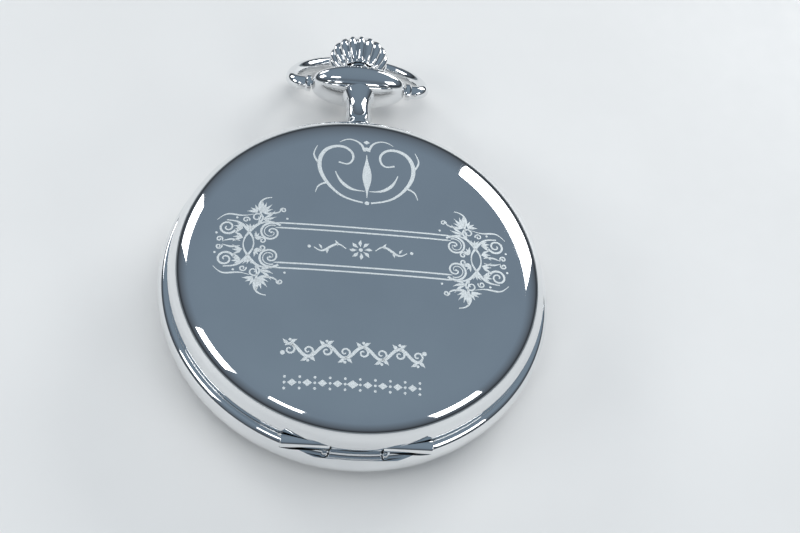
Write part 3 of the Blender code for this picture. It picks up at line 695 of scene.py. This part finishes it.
def frame_scroll():
    """A quarter of the frame's scrollwork: the upper half of it at the right end."""
    hook = even(0.17)
    strokes = [
        (spiral((10.75, 1.72), 1.42, 135, -1.35), tail(0.28, 0.16)),
        (spiral((10.75, 1.72), 1.05, 115, -0.9), tail(0.14, 0.08)),
        (spiral((15.75, 2.2), 0.98, 205, 1.5), tail(0.28, 0.16)),
        (spiral((12.45, 3.75), 0.7, 250, -1.3), tail(0.24, 0.12)),
        (spiral((16.55, 0.5), 0.38, 210, -1.25), hook),
        (spiral((11.7, 0.5), 0.42, 20, 1.2), hook),
        (spiral((9.5, 4.95), 0.36, 330, 1.2), hook),
        (spiral((13.7, 3.35), 0.42, 200, -1.2), hook),
        (curve((12.65, 0.0), (12.8, 0.8), (13.25, 1.6), (14.4, 2.9), (15.9, 3.2)), swell(0.14, 0.32)),
        (curve((13.85, 0.0), (13.7, 0.8), (13.25, 1.6), (12.1, 2.9), (10.5, 3.2)), swell(0.14, 0.32)),
        (curve((12.3, 3.0), (12.1, 4.5), (12.3, 5.5), (11.8, 6.5), (10.9, 6.8)), swell(0.12, 0.3)),
        (curve((12.9, 4.2), (14.3, 3.95), (15.9, 4.05), (17.0, 3.2)), swell(0.08, 0.22)),
        (curve((11.9, 4.6), (10.9, 4.45), (10.1, 4.6), (9.5, 5.3)), swell(0.08, 0.22)),
        (curve((14.2, 0.35), (15.2, 0.5), (16.2, 0.2)), swell(0.08, 0.24)),
    ]
    strokes += fan(12.2, 4.7, 95, 190, 5, 1.7, 0.36)
    strokes += fan(12.5, 4.4, 10, 75, 3, 1.2, 0.34)
    strokes += fan(11.9, 3.6, 140, 195, 3, 1.9, 0.32)
    strokes += fan(14.0, 2.1, -40, 45, 4, 1.1, 0.3)
    strokes += fan(13.9, 0.75, -25, 35, 3, 1.3, 0.3)
    strokes += fan(12.6, 0.9, 95, 200, 4, 0.85, 0.28)
    strokes += fan(13.25, 1.9, 60, 120, 3, 1.0, 0.28)
    strokes += [dot(*place, 0.14) for place in ((14.75, 3.6), (14.6, 1.95), (16.95, 1.35), (12.0, 5.9),
                                                (10.75, 1.72), (9.0, 3.75))]
    return strokes


def frame_strokes():
    """The double-lined frame with scroll ends and a small rosette inside."""
    lines = [(curve((-FRAME_LINE_X, y), (0, y), (FRAME_LINE_X, y)), even(LINE_WIDTH))
             for y in FRAME_LINES_Y]
    strokes = mirrored(frame_scroll()) + lines
    rosette = [leaf(*polar(0.42, math.radians(deg)), deg, 0.95, 0.42) for deg in range(0, 360, 45)]
    side = [
        (curve((1.7, 0.0), (2.6, 0.6), (3.6, 0.1), (4.6, -0.45), (5.4, 0.0)), swell(0.12, 0.3)),
        leaf(2.7, 0.35, 70, 0.8, 0.3), leaf(3.7, 0.0, -75, 0.8, 0.3), leaf(4.5, -0.2, 60, 0.7, 0.26),
        dot(5.95, 0.05, 0.2),
    ]
    inside = moved(rosette + [dot(0, 0, 0.24)] + mirrored(side), *ROSETTE_PLACE)
    return mirrored(strokes, flip_x=False, flip_y=True) + inside


def border_strokes():
    """A running leaf scroll and, under it, a row of dots and lozenges."""
    wave = [(x / 2, WAVE_HEIGHT * math.sin(math.pi * x / 4)) for x in range(-15, 16)]
    scroll = [(curve(*wave), even(0.36)), dot(-7.75, -0.4, 0.26), dot(7.75, 0.4, 0.26)]
    for k in range(-4, 4):
        x = 2 * k + 1
        up = 1 if k % 2 == 0 else -1
        scroll.append((spiral((x, 0.02 * up), 0.62, 90 * up, -1.1 * up), tail(0.26, 0.14)))
        scroll.append(leaf(x, 0.66 * up, 38 * up, 1.0, 0.4))
        scroll.append(leaf(x, 0.66 * up, 142 * up, 1.0, 0.4))
        scroll.append(dot(x, 1.2 * up, 0.17))
    row = [diamond(LOZENGE_PITCH * k, 0, 0.5) for k in range(1, 5)]
    row += [dot(LOZENGE_PITCH * (k + 0.5), y, 0.15) for k in range(5) for y in (-0.62, 0, 0.62)]
    return (moved(scroll, *BORDER_PLACE)
            + moved(mirrored(row) + [diamond(0, 0, 0.62)], *DOT_ROW_PLACE))


def make_engraving():
    """All frosted ornament on the lid."""
    engraved("engraved_flourish", flourish_strokes())
    engraved("engraved_frame", frame_strokes())
    engraved("engraved_border", border_strokes())


# ---- Dial and hands ---------------------------------------------------------------------
def flat_piece(name, loops, low, high, finish, body_name, *nodes):
    """Plates cut to outlines, each with an optional list of holes, at one height."""
    made = []
    for outline, holes in loops:
        plate = body(name, *loft([on_z(outline, low), on_z(outline, high)]), finish)
        tools = [body("hole", *loft([on_z(h, low - 1), on_z(h, high + 1)])) for h in holes]
        if tools:
            carve(plate, *tools)
        made.append(plate)
    if len(made) > 1:
        bm = bmesh.new()
        for plate in made:
            bm.from_mesh(plate.data)
        bm.to_mesh(made[0].data)
        bm.free()
        shade(made[0].data)
        for plate in made[1:]:
            bpy.data.objects.remove(plate, do_unlink=True)
    fit(made[0], body_name, *nodes)


def ring_band(name, inner, outer, low, high):
    """A thin printed ring on the dial."""
    profile = [(inner, low), (inner, high), (outer, high), (outer, low)]
    fit(turned(name, profile, "dial_print", steps=DIAL_TURN_STEPS), "case")


def make_dial():
    """Dial plate with a minute track and plain hour numbers."""
    top = DIAL_Z[1]
    low, high = top - PRINT_HALF, top + PRINT_HALF
    section = [(DIAL_BORE_R, DIAL_Z[0]), (DIAL_BORE_R, top), (DIAL_R, top), (DIAL_R, DIAL_Z[0])]
    plate = turned("dial_plate", round_corners(section, 0.08), "dial_white", steps=DIAL_TURN_STEPS)
    fit(plate, "case", "dial")
    marks = []
    for k in range(60):
        length, half = MINUTE_MARK if k % 5 else HOUR_MARK
        far, near = TRACK_OUTER_R[0], TRACK_OUTER_R[0] - length
        bar = [(near, -half), (far, -half), (far, half), (near, half)]
        marks.append((spun(bar, math.radians(6 * k)), []))
    flat_piece("dial_minute_marks", marks, low, high, "dial_print", "case")
    ring_band("dial_track_outer", *TRACK_OUTER_R, low, high)
    ring_band("dial_track_inner", *TRACK_INNER_R, low, high)
    for hour in range(1, 13):
        text = bpy.data.curves.new(f"dial_number_{hour}", "FONT")
        text.body = str(hour)
        text.size = NUMBER_SIZE * MM
        text.extrude = PRINT_HALF * MM
        text.align_x = "CENTER"
        text.align_y = "CENTER"
        text.materials.append(FINISHES["dial_print"])
        number = bpy.data.objects.new(f"dial_number_{hour}", text)
        bpy.context.scene.collection.objects.link(number)
        x, y = polar(NUMBER_R, math.radians(90 - 30 * hour))
        number.location = (x * MM, y * MM, (top + NUMBER_LIFT) * MM)
        fit(number, "case")


def spade_outline(length, tail_length, neck, head, head_place):
    """Outline of a spade hand that points at 12 o'clock."""
    start, stop = length * head_place, length * (head_place + 0.2)
    knots = [(neck * 0.8, -tail_length), (neck * 0.7, 0), (neck * 0.6, start * 0.9),
             (neck * 0.55, start), (head, (start + stop) / 2), (head * 0.45, stop), (0.05, length)]
    right = smooth_path(knots, step=0.3)
    return right + [(-x, y) for x, y in reversed(right)]


def make_hand(name, body_name, z, outline, clock_deg, hub_r, bore):
    """A hand with a round hub, turned clockwise from 12 o'clock."""
    low, high = z
    hole = circle(bore, HAND_BORE_STEPS)
    loops = [(spun(outline, -math.radians(clock_deg)), [hole]), (circle(hub_r, HUB_STEPS), [hole])]
    flat_piece(f"{name}_blade", loops, low, high, "hand_black", body_name, name)


def make_hands():
    """Spade hour and minute hands and a slim seconds hand."""
    spade = spade_outline(length=10.0, tail_length=2.2, neck=0.75, head=1.05, head_place=0.62)
    make_hand("hour_hand", "hours", HOUR_HAND_Z, spade, HOUR_CLOCK_DEG, hub_r=1.75, bore=1.2)
    spade = spade_outline(length=15.2, tail_length=2.8, neck=0.6, head=0.85, head_place=0.66)
    make_hand("minute_hand", "minutes", MINUTE_HAND_Z, spade, MINUTE_CLOCK_DEG, hub_r=1.4, bore=0.76)
    slim = smooth_path([(0.3, -4.2), (0.2, -2.0), (0.14, 2.0), (0.09, 10.0), (0.05, 16.4)], 0.5)
    outline = slim + [(-x, y) for x, y in reversed(slim)]
    make_hand("second_hand", "seconds", SECOND_HAND_Z, outline, SECOND_CLOCK_DEG,
              hub_r=0.8, bore=0.28)


# ---- Pendant, crown and bow ---------------------------------------------------------------
def make_neck():
    """Flared neck, seated on the band, with the tube that the crown slides over."""
    outer = smooth_path([(3.15, NECK_ROOT_Y), (2.9, 23.7), (2.25, 25.2), (1.7, 27.6), (1.85, 29.8),
                         (2.6, 31.6), (2.3, 33.4), (TUBE_R, 34.3)])
    tube = [(TUBE_R, TUBE_END_Y), (STEM_BORE_R, TUBE_END_Y), (STEM_BORE_R, NECK_ROOT_Y)]
    profile = round_corners(outer + tube, 0.1)
    neck = turned("pendant_neck", profile, "chrome", on_y, PENDANT_TURN_STEPS)
    seat = [(0, 0.0), (PENDANT_SEAT_R, 0.0), (PENDANT_SEAT_R, 12.0), (0, 12.0)]
    carve(neck, turned("seat", seat, closed=False))
    fit(neck, "case", "pendant")


def make_bulb():
    """The cross bulb on the neck, bored for the stem and for the bow's two pins."""
    rings = []
    for k in range(BULB_SLICES + 1):
        x = BULB_END_X * math.cos(math.pi * k / BULB_SLICES)
        size = (1 - (x / BULB_HALF[0]) ** 2) ** BULB_FULLNESS
        rings.append([(x, BULB_Y + size * BULB_HALF[1] * b, STEM_Z + size * BULB_HALF[2] * a)
                      for a, b in circle(1.0, PENDANT_TURN_STEPS)])
    bulb = body("pendant_bulb", *loft(rings), "chrome")
    pivots = []
    for side in (-1, 1):
        bore = [[(side * x, BULB_Y + a, STEM_Z + b) for a, b in circle(PIVOT_BORE_R, PIVOT_STEPS)]
                for x in PIVOT_BORE_X]
        pivots.append(body("pivot", *loft(bore)))
    carve(bulb, rod("stem_room", STEM_BORE_R, *STEM_ROOM_Y, on_y), *pivots)
    fit(bulb, "case")


def make_shank():
    """The neck's root, which goes through the band."""
    shank = [(STEM_BORE_R, SHANK_START_Y), (STEM_BORE_R, SHANK_END_Y),
             (SHANK_R, SHANK_END_Y), (SHANK_R, SHANK_START_Y)]
    fit(turned("pendant_shank", shank, "chrome", on_y, SMALL_TURN_STEPS), "case")


def make_crown():
    """Onion crown with deep round flutes, hollow underneath."""
    outer = smooth_path([(2.35, CROWN_BASE_Y), (3.0, 35.55), (3.85, 36.7), (4.15, 37.9),
                         (3.3, 39.25), (1.7, 39.8), (0, CROWN_TIP_Y)],
                        step=0.16, start=(1, 0), end=(-1, 0))
    samples = CROWN_FLUTES * FLUTE_STEPS
    rings = []
    for radius, y in outer:
        fade = min(1.0, (radius / FLUTE_FULL_R) ** 2) * min(1.0, (y - FLUTE_FADE_Y) / FLUTE_FADE_LENGTH)
        depth = CROWN_FLUTE_DEPTH * fade
        flat = []
        for k in range(samples):
            across = abs(math.sin(math.pi * CROWN_FLUTES * k / samples))
            flat.append(polar(radius - depth * (1 - across ** FLUTE_SHAPE), 2 * math.pi * k / samples))
        rings.append(on_y(flat, y))
    inside = [(CROWN_CAVITY_R, CROWN_BASE_Y), (CROWN_CAVITY_R, CROWN_CAVITY_END_Y),
              (CROWN_STEM_R, CROWN_CAVITY_END_Y), (CROWN_STEM_R, CROWN_STEM_END_Y),
              (0, CROWN_STEM_END_Y)]
    under = [on_y(circle(radius, samples), y) for radius, y in inside]
    points, faces = loft(list(reversed(under)) + rings)
    fit(body("crown_fluted", points, faces[:-2], "chrome", angle=50), "crown", "crown")


def bow_path():
    """Centre line, wire radius and direction along the bow, from one pin to the other."""
    fillet_r = BOW_RING_S
    straight = BOW_RING_R - fillet_r
    boss_in, boss_out = BOW_BOSS_X
    soft, bevel = 0.12, 0.08
    half = [((BOW_PIN_TIP_X, 0), BOW_PIN_R - bevel, 0), ((BOW_PIN_TIP_X + bevel, 0), BOW_PIN_R, 0),
            ((boss_in, 0), BOW_PIN_R, 0), ((boss_in, 0), BOW_BOSS_R - soft, 0),
            ((boss_in + 0.03, 0), BOW_BOSS_R - 0.03, 0), ((boss_in + soft, 0), BOW_BOSS_R, 0),
            ((boss_out - soft, 0), BOW_BOSS_R, 0), ((boss_out, 0), BOW_BOSS_R - bevel, 0),
            ((straight - 0.25, 0), BOW_WIRE_R + 0.02, 0), ((straight, 0), BOW_WIRE_R, 0)]
    for deg in range(10, 100, 10):
        turn = math.radians(deg)
        half.append(((straight + fillet_r * math.sin(turn), fillet_r * (1 - math.cos(turn))),
                     BOW_WIRE_R, turn))
    for deg in range(3, 90, 3):
        turn = math.radians(deg)
        half.append(((BOW_RING_R * math.cos(turn), BOW_RING_S + BOW_RING_R * math.sin(turn)),
                     BOW_WIRE_R, math.pi / 2 + turn))
    middle = [((0, BOW_RING_S + BOW_RING_R), BOW_WIRE_R, math.pi)]
    return half + middle + [((-x, s), r, 2 * math.pi - turn) for (x, s), r, turn in reversed(half)]


def make_bow():
    """The ring of round wire that swings on the bulb."""
    tilt = math.radians(BOW_REST_DEG)
    rings = []
    for (x, s), radius, turn in bow_path():
        ring = []
        for a, b in circle(radius, WIRE_STEPS):
            reach = s + a * math.cos(turn)
            ring.append((x - a * math.sin(turn),
                         BULB_Y + reach * math.cos(tilt) - b * math.sin(tilt),
                         STEM_Z + reach * math.sin(tilt) + b * math.cos(tilt)))
        rings.append(ring)
    fit(body("bow_ring", *loft(rings), "chrome"), "bow", "bow")


# ---- Carried-over nodes -----------------------------------------------------------------
def dress_nodes():
    """Give every CAD node the finish that its record names."""
    finish_of = {part["node"]: part["material_slot"] for part in frame["record"]["subparts"]}
    for name, node in frame["nodes"].items():
        node.data.materials.clear()
        node.data.materials.append(FINISHES[finish_of[name]])


# ---- Studio -------------------------------------------------------------------------------
CAMERA_AZIMUTH = math.radians(-13.54)
CAMERA_ELEVATION = math.radians(55.19)
CAMERA_ROLL = math.radians(15.31)
CAMERA_DISTANCE = 128.9
CAMERA_OFFSET = (5.25, 2.26)   # to the right and up, seen from the camera
CAMERA_TARGET = Vector((0, 0, 6.2))
LENS = 47.9
FLOOR_HALF = 6000
FLOOR_Z = -0.02

# name, azimuth and elevation of the lamp in degrees, distance, width, height, brightness,
# and whether the polish shows it
LAMPS = (("rear_right", 50, 27, 420, 210, 160, 6.0, True),
         ("rear_left", 136, 26, 420, 140, 130, 5.0, True),
         ("left", 194, 31, 400, 160, 110, 5.0, True),
         ("front_left", 238, 38, 420, 110, 55, 5.0, True),
         ("front_right", 324, 27, 420, 170, 100, 5.0, True),
         ("overhead_front", 258, 74, 520, 110, 110, 5.0, False),
         ("fill", 90, 88, 700, 700, 700, 1.5, False))


def make_camera():
    """The camera at the photograph's angle, a little turned about its own axis."""
    back = Vector((math.sin(CAMERA_AZIMUTH) * math.cos(CAMERA_ELEVATION),
                   -math.cos(CAMERA_AZIMUTH) * math.cos(CAMERA_ELEVATION),
                   math.sin(CAMERA_ELEVATION)))
    level = (-back).cross(Vector((0, 0, 1))).normalized()
    above = level.cross(-back)
    right = level * math.cos(CAMERA_ROLL) + above * math.sin(CAMERA_ROLL)
    up = above * math.cos(CAMERA_ROLL) - level * math.sin(CAMERA_ROLL)
    place = CAMERA_TARGET + back * CAMERA_DISTANCE + right * CAMERA_OFFSET[0] + up * CAMERA_OFFSET[1]
    data = bpy.data.cameras.new("camera")
    data.lens = LENS
    data.sensor_width = 36
    data.clip_start = 0.005
    data.clip_end = 20
    camera = bpy.data.objects.new("camera", data)
    bpy.context.scene.collection.objects.link(camera)
    matrix = camera.matrix_world.copy()
    for row in range(3):
        matrix[row][0], matrix[row][1], matrix[row][2] = right[row], up[row], back[row]
        matrix[row][3] = place[row] * MM
    camera.matrix_world = matrix
    bpy.context.scene.camera = camera


def make_lamps():
    """Soft boxes round the watch; the polish shows most of them as white patches."""
    for name, azimuth, elevation, distance, width, height, bright, shown in LAMPS:
        data = bpy.data.lights.new(name, "AREA")
        data.shape = "RECTANGLE"
        data.size = width * MM
        data.size_y = height * MM
        data.energy = bright * math.pi * data.size * data.size_y
        lamp = bpy.data.objects.new(name, data)
        lamp.visible_glossy = shown
        bpy.context.scene.collection.objects.link(lamp)
        flat = math.cos(math.radians(elevation))
        towards = Vector((flat * math.cos(math.radians(azimuth)),
                          flat * math.sin(math.radians(azimuth)),
                          math.sin(math.radians(elevation))))
        lamp.location = towards * distance * MM
        lamp.rotation_euler = towards.to_track_quat("Z", "Y").to_euler()


def make_world():
    """A dim blue-grey room with a pale horizon and a dark band above it."""
    world = bpy.data.worlds.new("room")
    world.use_nodes = True
    tree = world.node_tree
    shader = tree.nodes["Background"]
    coords = tree.nodes.new("ShaderNodeTexCoord")
    split = tree.nodes.new("ShaderNodeSeparateXYZ")
    ramp = tree.nodes.new("ShaderNodeValToRGB")
    stops = ((0.0, (0.24, 0.27, 0.29)), (0.045, (0.20, 0.23, 0.25)), (0.10, (0.02, 0.022, 0.026)),
             (0.24, (0.10, 0.12, 0.145)), (0.6, (0.185, 0.24, 0.30)), (1.0, (0.20, 0.26, 0.32)))
    while len(ramp.color_ramp.elements) < len(stops):
        ramp.color_ramp.elements.new(0.5)
    for element, (place, colour) in zip(ramp.color_ramp.elements, stops):
        element.position = place
        element.color = (*colour, 1)
    tree.links.new(coords.outputs["Generated"], split.inputs["Vector"])
    tree.links.new(split.outputs["Z"], ramp.inputs["Fac"])
    tree.links.new(ramp.outputs["Color"], shader.inputs["Color"])
    bpy.context.scene.world = world


def make_floor():
    """A plain pale table."""
    corner_points = [(x * FLOOR_HALF, y * FLOOR_HALF, FLOOR_Z)
                     for x, y in ((-1, -1), (1, -1), (1, 1), (-1, 1))]
    floor = body("floor", corner_points, [(0, 1, 2, 3)])
    floor.data.materials.append(floor_paint())


dress_nodes()
make_lid()
make_engraving()
make_band()
make_back()
make_bezel_and_crystal()
make_dial()
make_hands()
make_neck()
make_bulb()
make_shank()
make_crown()
make_bow()
make_floor()
make_world()
make_lamps()
make_camera()
bpy.context.scene.view_settings.view_transform = "Standard"
